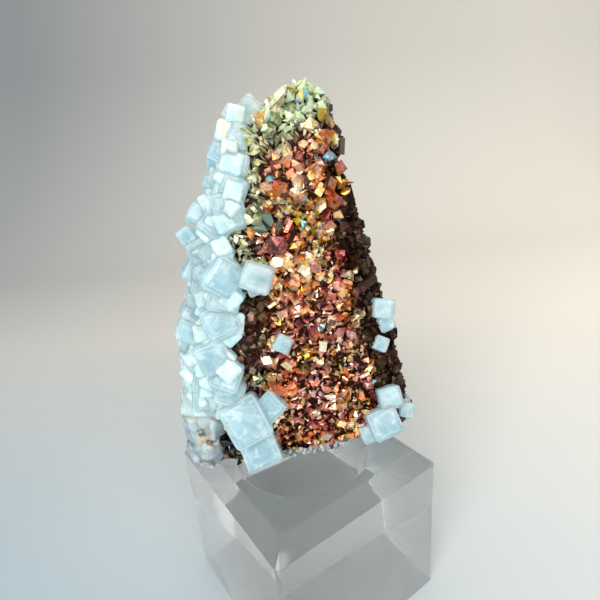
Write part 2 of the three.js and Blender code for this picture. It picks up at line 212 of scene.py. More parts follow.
class Finish:  # one material and its nodes
    def __init__(self, name, **constants):  # the shader's sockets, with _ for a space
        self.material = bpy.data.materials.new(name)
        self.material.use_nodes = True
        self.tree = self.material.node_tree
        self.shader = self.tree.nodes["Principled BSDF"]
        for key, value in constants.items():
            self.shader.inputs[key.replace("_", " ")].default_value = value

    def node(self, kind, settings={}, values={}, out=0):
        made = self.tree.nodes.new(kind)
        for key, setting in settings.items():
            if key == "stops":
                ramp = made.color_ramp.elements
                while len(ramp) < len(setting):
                    ramp.new(0.5)
                for stop, (place, colour) in zip(ramp, setting):
                    stop.position, stop.color = place, (*colour, 1)
            elif key == "interpolation":
                made.color_ramp.interpolation = setting
            else:
                setattr(made, key, setting)
        for key, value in values.items():
            self.put(made.inputs[key], value)
        return Value(self, made.outputs[out])

    def put(self, socket, value):
        if isinstance(value, Value):
            self.tree.links.new(value.output, socket)
        else:
            socket.default_value = value

    def feed(self, **values):  # what changes over the surface
        for key, value in values.items():
            self.put(self.shader.inputs[key.replace("_", " ")], value)

    def stored(self, name):  # a value kept on the mesh
        return self.node("ShaderNodeAttribute", {"attribute_name": name}, out=2)

    def place(self):  # where a point lies in the piece's own frame, in metres
        return self.node("ShaderNodeTexCoord", out=3)

    def speckle(self, size, detail=2.0, rough=0.5):  # noise with features of about size mm
        values = {"Vector": self.place(), "Scale": 1 / mm / size, "Detail": detail, "Roughness": rough}
        return self.node("ShaderNodeTexNoise", {}, values)

    def ramp(self, value, stops, interpolation="LINEAR"):
        settings = {"stops": stops, "interpolation": interpolation}
        return self.node("ShaderNodeValToRGB", settings, {"Fac": value})

    def clip(self, value, low, high, toLow=0.0, toHigh=1.0):
        return self.node(
            "ShaderNodeMapRange", {"clamp": True},
            {"Value": value, "From Min": low, "From Max": high, "To Min": toLow, "To Max": toHigh},
        )

    def mix(self, factor, a, b, blend="MIX"):
        settings = {"data_type": "RGBA", "blend_type": blend}
        return self.node("ShaderNodeMix", settings, {0: factor, 6: a, 7: b}, out=2)

    def bump(self, height, strength, depth):  # the depth in mm
        values = {"Height": height, "Strength": strength, "Distance": depth * mm}
        return self.node("ShaderNodeBump", {}, values)


def netSquare(around, k, i):  # one face between two rings of points
    j = (i + 1) % around
    return k * around + i, k * around + j, (k + 1) * around + j, (k + 1) * around + i


def hullOf(points):  # a convex crystal from its corners, with flat faces kept whole
    flatWithin = 0.02  # radians
    bm = bmesh.new()
    for point in points:
        bm.verts.new(point)
    found = bmesh.ops.convex_hull(bm, input=bm.verts)
    inside = [item for item in found["geom_unused"] if isinstance(item, bmesh.types.BMVert)]
    bmesh.ops.delete(bm, geom=inside, context="VERTS")
    bmesh.ops.dissolve_limit(bm, angle_limit=flatWithin, verts=bm.verts, edges=bm.edges)
    bmesh.ops.recalc_face_normals(bm, faces=bm.faces)
    bm.verts.index_update()
    made = np.array([v.co for v in bm.verts]), [tuple(v.index for v in f.verts) for f in bm.faces]
    bm.free()
    return made


# Pyrite

pyrite = {
    "seed": 4,
    "formSeed": 5,
    "fine": {"spacing": 1.05, "halfWidth": (0.66, 1.1), "halfLength": (0.55, 0.95), "lean": 0.9, "sink": 0.4},
    "middle": {"spacing": 1.8, "halfWidth": (1.0, 1.75), "halfLength": (0.9, 1.35), "lean": 0.9, "sink": 0.3},
    "large": {"spacing": 3.8, "halfWidth": (1.4, 2.2), "halfLength": (1.2, 1.8), "lean": 0.9, "sink": 0.55},
    "rowPitch": 0.86,  # height between rows, as a share of the spacing
    "jitter": 0.4,
    "overBand": (1.2, 0.5),  # how far the crust runs on under the pale band, and how unevenly
    "smallMore": 1.4,  # above 1, small crystals outnumber large ones
    "patch": (7, 0.35),  # size of the patches of larger and smaller crystals, and how much they differ
    "growth": ((10, 25, 45), (0.76, 0.84, 0.94)),  # heights, and how large the crystals are there
    "relief": 0.45,  # how far groups of crystals stand in and out
    "reliefSize": 2.2,
    "upturn": 0.8,  # how far the crystals of the crest turn upwards
    "coreDepth": 0.5,
    "coreRows": 48,
    "coreAround": 90,
    "bladeShare": 0.32,
    "crestBladeShare": 0.5,
    "roughForms": 9,
    "plateShare": 0.35,
    "plateThickness": (0.25, 0.5),
    "skew": 0.28,
    "tones": (1.7, 1.9),  # shape of the spread from dark to light crystals
    "faceTones": (-0.32, 0.36),  # how far one face differs from its crystal
    "sparks": (0.92, 0.045, 0.015, 0.01, 0.01),  # shares of plain, gold, orange, blue and cream crystals
    "ownAccent": 0.75,  # share of a bright crystal's faces in its own colour
    "accentMates": (0.3, 0.5, 0.3, 0.8, 0.4),  # accents found on its other faces
    "green": {  # over the crest, and along the band above marginFrom
        "from": 61, "fade": 4.5, "drift": 5, "driftSize": 5, "margin": 3, "marginFade": 2.6,
        "marginFrom": 28, "marginRise": 12, "marginLeast": 0.15, "marginMost": 0.8,
    },
    "dark": {  # painted shade down the right flank and along the band below marginTop, and the real black metal in a patch beside the foot
        "flank": ((0, 16, 32, 50, 62, 70), (8.4, 8.4, 7.2, 5.8, 3.2, 1.0)),  # heights and widths
        "fade": 1.6, "drift": 1.8, "driftSize": 3, "margin": 4.2, "marginFade": 2.2,
        "marginTop": 48, "marginDrop": 10, "marginMost": 0.8,
        "patch": (-14.6, 5, 5), "patchFade": 1.5,  # s, z and radius
    },
    "crestBlades": {
        "count": 130, "from": 70.7, "fall": 2, "jitter": (-0.5, 0.2), "spread": 0.7, "bladeShare": 0.75,
        "halfWidth": (0.6, 1.2), "halfLength": (1.1, 1.9), "lean": 0.5,
    },
    "cluster": {  # a named crystal and its mates
        "size": 6, "spread": 0.85, "leader": 1.1, "mates": (0.65, 0.95),
        "sink": 0.8, "mateRise": 0.3, "lean": 0.8,
        "crestFrom": 66, "tilt": (0.25, 0.8),  # how far they look up, below and in the crest
        "mixedFrom": 60, "brightMates": (0.8, 0.35),  # share of bright mates, below and above
        "beside": {0.2: 0.3, 0.3: 0.5},  # gold grows around blue, and cream around gold
    },
    "look": {
        "film": (0.8, 0.2),  # size of the tarnish's drift across a face, and how far it shifts the tone
        "patchSize": 5.0,
        "hue": (0.475, 0.525),
        "richSize": 7.0,
        "richness": (1.0, 1.35),
        "accentLight": ((0.35, 0.32, 0.3, 1), (1.2, 1.2, 1.2, 1)),  # a bright crystal's dark and light faces
        # how far the painted shade and the black metal pull the colour, and the near-black they pull it to
        "gloom": (0.93, (0.012, 0.007, 0.005, 1)),
        "paintedHollowShade": (0.10, 0.08, 0.08, 1),  # painted shade deep between the crystals
        "coat": 0.35,
        "metal": 0.9,
        "crestDull": 0.65,  # the crest is this much less metallic
        "roughness": (0.32, 0.55),
        "grain": 0.7,
        "striations": {"Scale": 900.0, "Distortion": 3.0, "Detail": 2.0},
        "bump": (0.5, 0.07),
    },
}
pyriteColours = [
    (0.00, (0.11, 0.036, 0.034)),
    (0.12, (0.28, 0.10, 0.085)),
    (0.24, (0.42, 0.20, 0.20)),
    (0.36, (0.66, 0.25, 0.13)),
    (0.48, (0.82, 0.37, 0.17)),
    (0.58, (0.64, 0.33, 0.34)),
    (0.68, (0.90, 0.48, 0.20)),
    (0.78, (0.88, 0.64, 0.52)),
    (0.88, (0.99, 0.73, 0.27)),
    (1.00, (0.94, 0.84, 0.74)),
]
crestColours = [
    (0.00, (0.14, 0.16, 0.08)),
    (0.16, (0.33, 0.39, 0.21)),
    (0.38, (0.58, 0.67, 0.40)),
    (0.58, (0.76, 0.84, 0.56)),
    (0.70, (0.52, 0.72, 0.67)),
    (0.84, (0.93, 0.88, 0.40)),
    (1.00, (0.88, 0.90, 0.78)),
]
accentColours = [  # picked by a crystal's accent value
    (0.00, (0.5, 0.2, 0.1)),
    (0.15, (0.30, 0.58, 0.68)),  # blue
    (0.25, (0.94, 0.68, 0.24)),  # gold
    (0.35, (0.92, 0.40, 0.16)),  # orange
    (0.45, (0.92, 0.82, 0.58)),  # cream
    (0.55, (0.20, 0.26, 0.20)),  # dark green
    (0.65, (0.40, 0.46, 0.30)),  # sage
    (0.75, (0.62, 0.78, 0.88)),  # pale blue
    (0.85, (0.03, 0.03, 0.035)),  # black
    (0.95, (0.60, 0.20, 0.16)),  # red
]
namedShards = [  # s, z, half width, half length, accent
    (4.0, 53.3, 1.0, 1.5, 0.2), (3.8, 48.5, 1.1, 1.5, 0.2), (1.4, 52.4, 1.5, 1.9, 0.3),
    (2.4, 50.6, 0.9, 1.6, 0.3), (5.2, 47.6, 1.0, 1.6, 0.3), (12.0, 54.7, 1.7, 2.2, 0.4),
    (9.6, 52.4, 1.6, 2.0, 1.0), (8.2, 49.8, 1.5, 1.9, 1.0), (10.6, 61.6, 0.9, 2.2, 0.5),
    (9.6, 59.4, 0.8, 1.6, 0.8), (-3.2, 50.6, 2.0, 2.1, 0.6), (-5.0, 42.8, 1.6, 1.8, 0.7),
    (6.1, 29.1, 0.9, 1.3, 0.8), (7.6, 28.9, 0.8, 1.3, 0.5), (-8.6, 18.8, 1.0, 1.4, 0.2),
    (-6.4, 17.8, 1.0, 1.5, 0.3), (-7.4, 20.0, 0.9, 1.3, 0.7), (8.0, 61.9, 1.3, 1.7, 0.2),
    (8.6, 66.4, 1.3, 2.0, 0.3), (4.0, 70.3, 1.2, 1.8, 0.3), (5.5, 69.5, 1.2, 1.6, 0.2),
    (1.2, 69.0, 1.0, 1.9, 0.5), (-1.5, 66.4, 1.0, 1.7, 0.5), (-1.0, 63.8, 1.0, 1.5, 0.6),
    (11.0, 38.5, 1.1, 1.6, 0.5), (3.4, 36.5, 1.3, 1.5, 0.4), (6.4, 41.5, 1.2, 1.5, 0.3),
    (1.2, 20.6, 0.9, 1.7, 0.3), (13.2, 29.0, 1.1, 1.6, 0.5), (-14.6, 6.0, 1.6, 1.5, 0.9),
    (-14.2, 3.4, 1.5, 1.4, 0.9), (-13.6, 8.2, 1.3, 1.3, 0.9), (0.6, 13.2, 0.9, 1.4, 0.3),
    (9.2, 11.8, 0.9, 1.3, 0.4), (12.4, 9.4, 0.8, 1.3, 0.5), (7.8, 22.4, 0.9, 1.4, 0.4),
]


def signed(*corners):  # each corner with every choice of signs
    signs = list(itertools.product((-1, 1), repeat=3))
    return sorted({tuple(a * b for a, b in zip(corner, sign)) for corner in corners for sign in signs})


octahedron = hullOf(signed((1, 0, 0), (0, 1, 0), (0, 0, 1)))
cube = hullOf(signed((0.72, 0.72, 0.72)))
cutCube = hullOf(signed((0.8, 0.8, 0), (0.8, 0, 0.8), (0, 0.8, 0.8)))
pyritohedron = hullOf(signed((0.68, 0.68, 0.68), (0, 1.02, 0.51), (1.02, 0.51, 0), (0.51, 0, 1.02)))
shardForms = [octahedron] * 5 + [cube] * 2 + [cutCube] * 2 + [pyritohedron] * 2


def roughForm(rng, flatness):  # an irregular flat-faced piece from a few chance corners
    corners = rng.normal(size=(rng.integers(7, 10), 3))
    corners *= rng.uniform(0.75, 1.0, (len(corners), 1)) / np.linalg.norm(corners, axis=1, keepdims=True)
    return hullOf(corners * [1, flatness, 1])


formRng = np.random.default_rng(pyrite["formSeed"])
shardForms += [roughForm(formRng, (0.9, 0.7)[k % 2]) for k in range(pyrite["roughForms"])]
bladeForm = hullOf([
    (1, 0, -0.2), (-1, 0, 0.1), (0, 0.32, 0), (0, -0.32, 0), (0.45, 0, 0.95), (-0.25, 0, 1), (0, 0, -1),
])


def shardTurn(facing, lean, rng):  # points a crystal's long axis roughly out of the skin
    aside = facing.orthogonal().normalized()
    aside.rotate(Quaternion(facing, rng.uniform(0, 2 * math.pi)))
    tipped = rng.uniform(0, lean)
    axis = facing * math.cos(tipped) + aside * math.sin(tipped)
    return np.array((axis.to_track_quat("Z", "Y") @ Quaternion((0, 0, 1), rng.uniform(0, 6.28))).to_matrix())


def addShard(pile, rng, place, facing, width, length, lean, blade, crest, gloom, accent=0.0):
    choices = pyrite["roughForms"] if accent else len(shardForms)  # bright crystals are rough pieces
    points, faces = bladeForm if blade else shardForms[-rng.integers(1, choices)]
    isPlate = rng.random() < pyrite["plateShare"] and not accent
    flat = rng.uniform(*pyrite["plateThickness"]) if isPlate else 1
    skew = np.eye(3) + rng.uniform(-pyrite["skew"], pyrite["skew"], (3, 3))  # keeps each face flat
    shape = points @ skew * [width * rng.uniform(0.8, 1.2), width * flat, length]
    tone = rng.beta(*pyrite["tones"]) + rng.uniform(*pyrite["faceTones"], len(faces))
    turned = shape @ shardTurn(facing, lean, rng).T
    reach = np.clip(turned @ np.array(facing) / length * 0.5 + 0.5, 0, 1)  # 0 at its root, 1 at its tip
    own = rng.random(len(faces)) < pyrite["ownAccent"]
    isMixed = 0 < accent < 0.55  # green, black and red crystals keep to one colour
    others = rng.choice(pyrite["accentMates"], len(faces)) if isMixed else accent
    accents = np.where(own, accent, others)
    shades = {"tone": np.clip(tone, 0, 1), "crest": crest, "gloom": gloom, "accent": accents}
    pile.add(turned + np.array(place), faces, shades, {"reach": reach})


def crestShare(s, z):  # 1 where the pyrite is green and gold
    zone = pyrite["green"]
    drift = noise.noise(Vector((s, z, 3)) / zone["driftSize"]) * zone["drift"]
    top = np.clip((z - zone["from"] + drift) / zone["fade"], 0, 1)
    beside = s - bandEdgeAt(z) - zone["margin"] + drift * 0.5
    rise = np.clip((z - zone["marginFrom"]) / zone["marginRise"], zone["marginLeast"], 1)
    margin = np.clip(1 - beside / zone["marginFade"], 0, 1) * rise
    return float(max(top, margin * zone["marginMost"]))


def paintedShadeAndBlackShare(s, t, z):  # 1 where the pyrite is painted nearly black: painted shade down the right flank and along the band's lower edge, and real black metal in the patch beside the foot
    zone = pyrite["dark"]
    drift = noise.noise(Vector((s, t, z)) / zone["driftSize"]) * zone["drift"]
    wide = float(np.interp(z, *zone["flank"]))
    flank = np.clip((s - reachAt(z, rightReach) + wide + drift) / zone["fade"], 0, 1)
    beside = s - bandEdgeAt(z) - zone["margin"] + drift
    drop = np.clip((zone["marginTop"] - z) / zone["marginDrop"], 0, 1)
    margin = np.clip(1 - beside / zone["marginFade"], 0, 1) * drop
    patchS, patchZ, radius = zone["patch"]
    patch = np.clip((radius - math.hypot(s - patchS, z - patchZ)) / zone["patchFade"], 0, 1)
    return float(max(flank, margin * zone["marginMost"], patch))


def addShards(pile, rng, kind):  # one size of crystals, in rows round the stone
    jitter, (over, uneven), (patchSize, patchDepth) = pyrite["jitter"], pyrite["overBand"], pyrite["patch"]
    rows = round(stone["height"] / (kind["spacing"] * pyrite["rowPitch"]))
    for row in range(rows + 1):
        level = row / rows * stone["height"]
        for angle in evenAngles(level, kind["spacing"], rng):
            z = float(np.clip(level + rng.uniform(-jitter, jitter), 0.9, stone["height"]))
            place, facing = skinPoint(z, angle)
            if place.x < bandEdgeAt(z) - over + rng.uniform(-uneven, uneven):
                continue
            crest, gloom = crestShare(place.x, z), paintedShadeAndBlackShare(place.x, place.y, z)
            patch = noise.noise(place / patchSize) * patchDepth
            size = float(np.clip(rng.uniform(0, 1) ** pyrite["smallMore"] + patch, 0, 1))
            growth = float(np.interp(z, *pyrite["growth"]))
            width = np.interp(size, (0, 1), kind["halfWidth"]) * growth
            length = np.interp(size, (0, 1), kind["halfLength"]) * growth
            isBlade = rng.random() < pyrite["bladeShare"] + crest * pyrite["crestBladeShare"]
            facing = (facing + Vector((0, 0, crest * pyrite["upturn"]))).normalized()
            relief = noise.noise(place / pyrite["reliefSize"]) * pyrite["relief"] * 2
            place = place + facing * (relief - kind["sink"])
            place.z = max(place.z, width * 0.8)  # above the stone's foot
            isPlain = crest >= 0.5 or gloom >= 0.4
            spark = rng.choice((0, 0.3, 0.4, 0.2, 0.5), p=pyrite["sparks"]) * (not isPlain)
            addShard(pile, rng, place, facing, width, length, kind["lean"], isBlade, crest, gloom, spark)


def addCrestBlades(pile, rng):  # leafy blades that stand up along the crest
    blades = pyrite["crestBlades"]
    s, t, halfWidth, halfDepth = sectionAt(stone["height"])
    for _ in range(blades["count"]):
        angle, share = rng.uniform(0, 6.28), rng.uniform(0, 1) ** 0.5
        c, d = math.cos(angle), math.sin(angle)
        z = blades["from"] - blades["fall"] * share**2 + rng.uniform(*blades["jitter"])
        place = Vector((s + c * halfWidth * share, t + d * halfDepth * share, z))
        facing = Vector((c * share * blades["spread"], d * share * blades["spread"], 1)).normalized()
        width, length = rng.uniform(*blades["halfWidth"]), rng.uniform(*blades["halfLength"])
        isBlade = rng.random() < blades["bladeShare"]
        addShard(pile, rng, place, facing, width, length, blades["lean"], isBlade, 1, 0)


def addNamedShards(pile, rng):  # each bright crystal with smaller ones against it
    cluster = pyrite["cluster"]
    for s, z, width, length, accent in namedShards:
        tilt = cluster["tilt"][z >= cluster["crestFrom"]]
        brightMates = cluster["brightMates"][z >= cluster["mixedFrom"]]
        for mate in range(cluster["size"]):
            near = min(mate, 1)
            a = s + rng.normal() * cluster["spread"] * width * near
            b = z + rng.normal() * cluster["spread"] * width * near
            a = min(max(a, reachAt(b, leftReach) + 1), reachAt(b, rightReach) - 1.4)  # inside the outline
            b = min(b, stone["height"] - 0.5)
            place = Vector((a, surfaceT(a, b), b))
            place.y -= lump(place) + (cluster["sink"] - cluster["mateRise"] * near) * length
            facing = Vector((0, -1, tilt)).normalized()
            scale = rng.uniform(*cluster["mates"]) if mate else cluster["leader"]
            colour = accent
            if mate:
                colour = cluster["beside"].get(accent, accent) * (rng.random() < brightMates)
            isBlade, crest = length > 1.6 * width, crestShare(a, b)
            size = width * scale, length * scale
            addShard(pile, rng, place, facing, *size, cluster["lean"], isBlade, crest, 0, colour)


def addCore(pile):  # the closed body under the crystals, painted dark as shade in the gaps between them
    around = pyrite["coreAround"]
    levels = np.linspace(0.35, stone["height"] - 0.3, pyrite["coreRows"])
    angles = [a / around * 2 * math.pi for a in range(around)]
    points = np.array([skinPoint(z, angle, -pyrite["coreDepth"])[0] for z in levels for angle in angles])
    points[:, 2] = np.clip(points[:, 2], 0.2, stone["height"] - 0.2)
    faces = [netSquare(around, k, i) for k in range(len(levels) - 1) for i in range(around)]
    faces += [tuple(reversed(range(around))), tuple(range(len(points) - around, len(points)))]
    pile.add(points, faces, {"tone": 0.2, "crest": 0, "gloom": 0.85, "accent": 0}, {"reach": 0.3})


def pyriteCrust(finish):
    rng = np.random.default_rng(pyrite["seed"])
    pile = Pile("pyriteCrust")
    addShards(pile, rng, pyrite["fine"])
    addShards(pile, rng, pyrite["middle"])
    addShards(pile, rng, pyrite["large"])
    addCrestBlades(pile, rng)
    addNamedShards(pile, rng)
    addCore(pile)
    return pile.build(finish, "pyrite")


def pyriteFinish():
    look = pyrite["look"]
    f = Finish("iridescentPyrite", Coat_IOR=2.0, Coat_Roughness=0.18)
    tone, reach, accent = f.stored("tone"), f.stored("reach"), f.stored("accent")
    filmSize, film = look["film"]
    soft = 0.35, 0.65  # where most of the noise lies
    shade = tone + f.clip(f.speckle(filmSize, 4, 0.6), *soft, -film, film)
    plain = f.mix(f.stored("crest"), f.ramp(shade, pyriteColours), f.ramp(shade, crestColours))
    lit = f.mix(f.clip(shade, 0.2, 0.8), *look["accentLight"])
    marked = f.mix(1.0, f.ramp(accent - 0.02, accentColours, "CONSTANT"), lit, "MULTIPLY")
    colour = f.mix(f.clip(accent, 0.04, 0.06), plain, marked)
    hue = f.clip(f.speckle(look["patchSize"], 1), *soft, *look["hue"])  # rose, copper and orange
    richness = f.clip(f.speckle(look["richSize"], 1), *soft, *look["richness"])
    varied = f.node("ShaderNodeHueSaturation", {}, {"Hue": hue, "Saturation": richness, "Color": colour})
    # painted shade down the right flank, along the band's lower edge and over the core, and the real black of
    # the metal beside the foot
    dimmed = f.mix(f.stored("gloom"), varied, f.mix(look["gloom"][0], varied, look["gloom"][1]))
    # painted shade: darker towards each crystal's root, deep between the crystals
    paintedHollowShade = f.mix(f.clip(reach, 0.22, 0.6), look["paintedHollowShade"], (1, 1, 1, 1))
    f.feed(Base_Color=f.mix(1.0, dimmed, paintedHollowShade, "MULTIPLY"))
    f.feed(Coat_Weight=f.clip(reach, 0.35, 0.8) * (1 - f.stored("gloom")) * look["coat"])
    f.feed(Metallic=look["metal"] - f.stored("crest") * look["crestDull"])
    f.feed(Roughness=f.clip(f.speckle(look["grain"], 2), 0.3, 0.7, *look["roughness"]))
    bands = {"wave_type": "BANDS", "bands_direction": "DIAGONAL"}
    lines = f.node("ShaderNodeTexWave", bands, {"Vector": f.place(), **look["striations"]})
    f.feed(Normal=f.bump(lines * 0.5 + f.speckle(look["grain"], 4, 0.6), *look["bump"]))
    return f


# Fluorite

fluorite = {
    "seed": 8,
    "singleSeed": 3,
    "solidSeed": 23,  # the one in the part's source
    "forms": {  # grid lines, close together where the edges round over, and the rounding in half cubes
        "fine": ([-1, -0.93, -0.85, -0.8, -0.45, 0, 0.45, 0.8, 0.85, 0.93, 1], 0.2),
        "soft": ([-1, -0.93, -0.82, -0.7, -0.35, 0, 0.35, 0.7, 0.82, 0.93, 1], 0.32),
        "plain": ([-1, -0.9, -0.72, 0.72, 0.9, 1], 0.28),
        "grain": ([-1, -0.6, 0.6, 1], 0.4),
    },
    "bevelled": 0.6,  # share of a flat bevel in an edge's rounding
    "smoothBelow": 24,  # degrees
    "stretch": (0.9, 1.1),
    "etch": 0.02,
    "lean": (-0.5, -0.1),  # how far a cube leans back, at the foot and at the top
    "swing": 0.8,  # how far the cubes differ in turn
    "sway": 0.35,  # and in lean
    "heart": 0.78,  # how much of a clear cube its milky inside fills
    "sunk": ((50, 62), (-0.2, 0.7)),  # heights, and how deep the band's cubes are set there
    "bedStep": 0.5,
    "bed": {  # the fused mass between the cubes
        "low": 12.5, "high": 69.5, "swell": 2.8, "lumpSize": 3.4, "lumpHeight": 1.1, "inset": 0.2,
        "kind": (0.5, 0.5),  # how pale it is, low down and higher up
    },
    "fill": {"low": 13.5, "high": 68, "spacing": 2.7, "size": (2.3, 3.9), "swell": 1.75, "inset": 0.9},
    "rowPitch": 0.85,
    "end": {  # the cubes round the stone's left end
        "rows": 11, "low": 16.5, "high": 64, "across": (3, 8.4), "size": 5, "sizes": (0.7, 1.15),
        "narrowAbove": 50, "narrower": 0.75, "stepBack": (1.1, 0.4),
    },
    "rust": (  # s, z and radius of the yellow spots near the band's top, in its middle and in the foot
        (-4, 67.5, 2.6), (-8.4, 63, 2.2), (-19, 31.5, 3.5), (-19.5, 7, 2.6), (-22, 12, 2.0), (-10.5, 59, 1.4),
    ),
    "rustShare": 0.6,
    "looks": {
        # each look's emission strength is a painted glow that lifts the shade
        "icyFluorite": {
            "pale": (0.57, 0.71, 0.75, 1), "deep": (0.38, 0.55, 0.61, 1), "roughness": 0.05,
            "seeThrough": 0.6, "paintedGlow": 0.13, "edgeLight": 0.75,
        },
        "milkyFluorite": {
            "pale": (0.45, 0.62, 0.625, 1), "deep": (0.33, 0.50, 0.525, 1), "roughness": 0.18,
            "seeThrough": 0.0, "paintedGlow": 0.23, "edgeLight": 0.3,
        },
        "sugaryFluorite": {
            "pale": (0.37, 0.47, 0.48, 1), "deep": (0.24, 0.29, 0.33, 1), "roughness": 0.42,
            "seeThrough": 0.0, "paintedGlow": 0.04, "edgeLight": 0.2,
        },
    },
    "white": (0.95, 1.0, 1.0, 1),
    "rustColour": (0.78, 0.55, 0.16, 1),
    "bump": (0.3, 0.06),
}
foot = {
    "seed": 12,
    "smoothBelow": 60,
    "bed": {
        "low": 0, "high": 16.5, "swell": 2.8, "lumpSize": 1.7, "lumpHeight": 1.2, "inset": 0.3,
        "kind": (0, 2.6),
    },
    "low": 0.7, "high": 15.2, "spacing": 2.2, "swell": 1.5, "jitter": (-0.3, 0.4), "size": (1.3, 2.6),
    "inset": 1.4,
    "bare": (-17.2, 3, 10),  # no grains right of s, in front of t and below z: the black metal shows there
    # pale grains along the pyrite's lower edge, and at its right corner
    "rim": {"along": (-4.5, 9, 0.75), "heights": (0.3, 1.1), "size": (0.9, 1.6), "sink": 0.3},
    "corner": {"s": (24.6, 25.3), "z": (0.6, 5.6, 1.1)},
}
bandCubes = [  # s, z and edge length of the band's cubes that face the viewer
    (-3.2, 67.6, 4.2), (-5.8, 66, 3.8), (-7.4, 64.2, 3.6), (-6, 62.6, 3.8), (-9, 61, 4.9),
    (-6.6, 59.4, 4.3), (-9.2, 57.2, 4.6), (-7.8, 55.6, 4.6), (-11.4, 56.6, 2.6), (-9, 52, 6.5),
    (-11.8, 49, 5.8), (-14.6, 51.6, 3.6), (-17, 48.2, 3), (-12, 44.8, 5.3), (-15, 45, 4.3),
    (-11.8, 40.6, 6.7), (-16.8, 41.6, 3.8), (-15.6, 37.8, 5.3), (-12.2, 36, 5.8), (-12.9, 32.2, 7.2),
    (-17.8, 34, 4.7), (-19, 30, 5.5), (-15.2, 25.2, 7.2), (-19.4, 24.6, 4.9), (-14, 20.2, 6.2),
    (-18, 19.6, 5.3), (-13.6, 16.6, 5.8), (-18.4, 15.2, 5.3), (-21.6, 13.4, 4.5),
]
singleCubes = [  # s, z, edge length, turn in degrees, how far it stands proud
    (-11, 11.6, 8.6, -20, 2.2), (-6.2, 13.2, 5.4, -38, 1.2), (-9.2, 5, 8.2, -13, 2), (-6, 40, 5.4, 25, 1),
    (-5.6, 39.2, 4.6, -15, 0.9), (-2.4, 26.1, 3.2, 35, 0.5), (19, 28.8, 4.2, 12, 1),
    (19.8, 25.4, 3.4, -20, 0.8), (18, 21.6, 3, 30, 0.5), (19.4, 9, 5, -6, 0.8),
    (17.4, 4.2, 6.6, -14, 1.6), (14.2, 1.8, 3.4, -10, 0.8), (24.2, 3.2, 3.4, 18, 0.4),
]


def leanAt(z):
    return float(np.interp(z, (0, stone["height"]), fluorite["lean"]))


def roundedCube(grid, roundness):  # one unit across, in patches between the grid's lines
    steps = len(grid) - 1
    found, points, faces = {}, [], []

    def corner(p):
        key = tuple(np.round(p, 5))
        if key not in found:
            found[key] = len(points)
            points.append(p)
        return found[key]

    for axis in range(3):
        for side in (-1, 1):
            u, v = (axis + 1) % 3, (axis + 2) % 3
            for i in range(steps):
                for j in range(steps):
                    square = []
                    for a, b in ((i, j), (i + 1, j), (i + 1, j + 1), (i, j + 1)):
                        p = np.zeros(3)
                        p[axis], p[u], p[v] = side, grid[a], grid[b]
                        square.append(corner(p))
                    faces.append(tuple(square if side > 0 else reversed(square)))
    points = np.array(points)
    inner = np.clip(points, roundness - 1, 1 - roundness)
    out = points - inner
    flat, curved = np.abs(out).sum(axis=1, keepdims=True), np.linalg.norm(out, axis=1, keepdims=True)
    bevelled = fluorite["bevelled"]
    out /= np.maximum(flat * bevelled + curved * (1 - bevelled), 1e-6)
    nest = np.sort(np.abs(points), axis=1)[:, 1]  # from 0 in the middle of a face to 1 along its edges
    return (inner + out * roundness) * 0.5, faces, out, nest


cubeForms = {name: roundedCube(*form) for name, form in fluorite["forms"].items()}


def etching(point, seed):  # soft waves and small terraces, as on an etched face
    waves = noise.noise(Vector(point) * 1.3 + seed) * 1.6
    return waves + math.floor(noise.noise(Vector(point) * 2.4 - seed) * 3) * 0.3


def addCube(pile, rng, form, size, place, turn, lean, stain=0.0):
    points, faces, out, nest = cubeForms[form]
    shape = points * rng.uniform(*fluorite["stretch"], 3)
    seed = Vector(rng.uniform(-50, 50, 3))
    if form != "grain":
        etched = np.array([etching(point, seed) for point in shape])
        shape = shape + out * etched[:, None] * fluorite["etch"]
    spin = Matrix.Rotation(lean, 3, "X") @ Matrix.Rotation(turn * 0.3, 3, "Z") @ Matrix.Rotation(turn, 3, "Y")
    world = shape * size @ np.array(spin).T + np.array(place)
    world[:, 2] = np.maximum(world[:, 2], 0.02)  # above the stone's foot
    pile.add(world, faces, {"stain": stain, "kind": rng.random()}, {"nest": nest})


# a clear skin over a milky heart
def addGlassyCube(skins, hearts, rng, form, size, place, turn, lean, stain=0.0):
    addCube(skins, rng, form, size, place, turn, lean, stain)
    addCube(hearts, rng, "plain", size * fluorite["heart"], place, turn, lean, stain)


def stainAt(s, z):
    near = max(1 - math.hypot(s - spotS, z - spotZ) / radius for spotS, spotZ, radius in fluorite["rust"])
    return float(np.clip(near * 1.6, 0, 1))


def stainShare(s, z, rng):
    return stainAt(s, z) * (rng.random() < fluorite["rustShare"])


def bedPoint(bed, z, angle):  # a point of the bed, and whether it lies left of the pyrite
    ends = min(z - bed["low"], bed["high"] - z) / 1.5
    bare, facing = skinPoint(z, angle)
    inside = np.clip((bandEdgeAt(z) - bed["inset"] - bare.x) / 1.2, 0, 1) * np.clip(0.4 + ends, 0, 1)
    near = min(noise.voronoi(bare / bed["lumpSize"])[0][0], 1)
    rise = bed["swell"] + bed["lumpHeight"] * (0.6 - near) + noise.noise(bare * 1.3) * 0.12
    return bare + facing * float(np.interp(inside, (0, 1), (-1.2, rise))), inside > 0


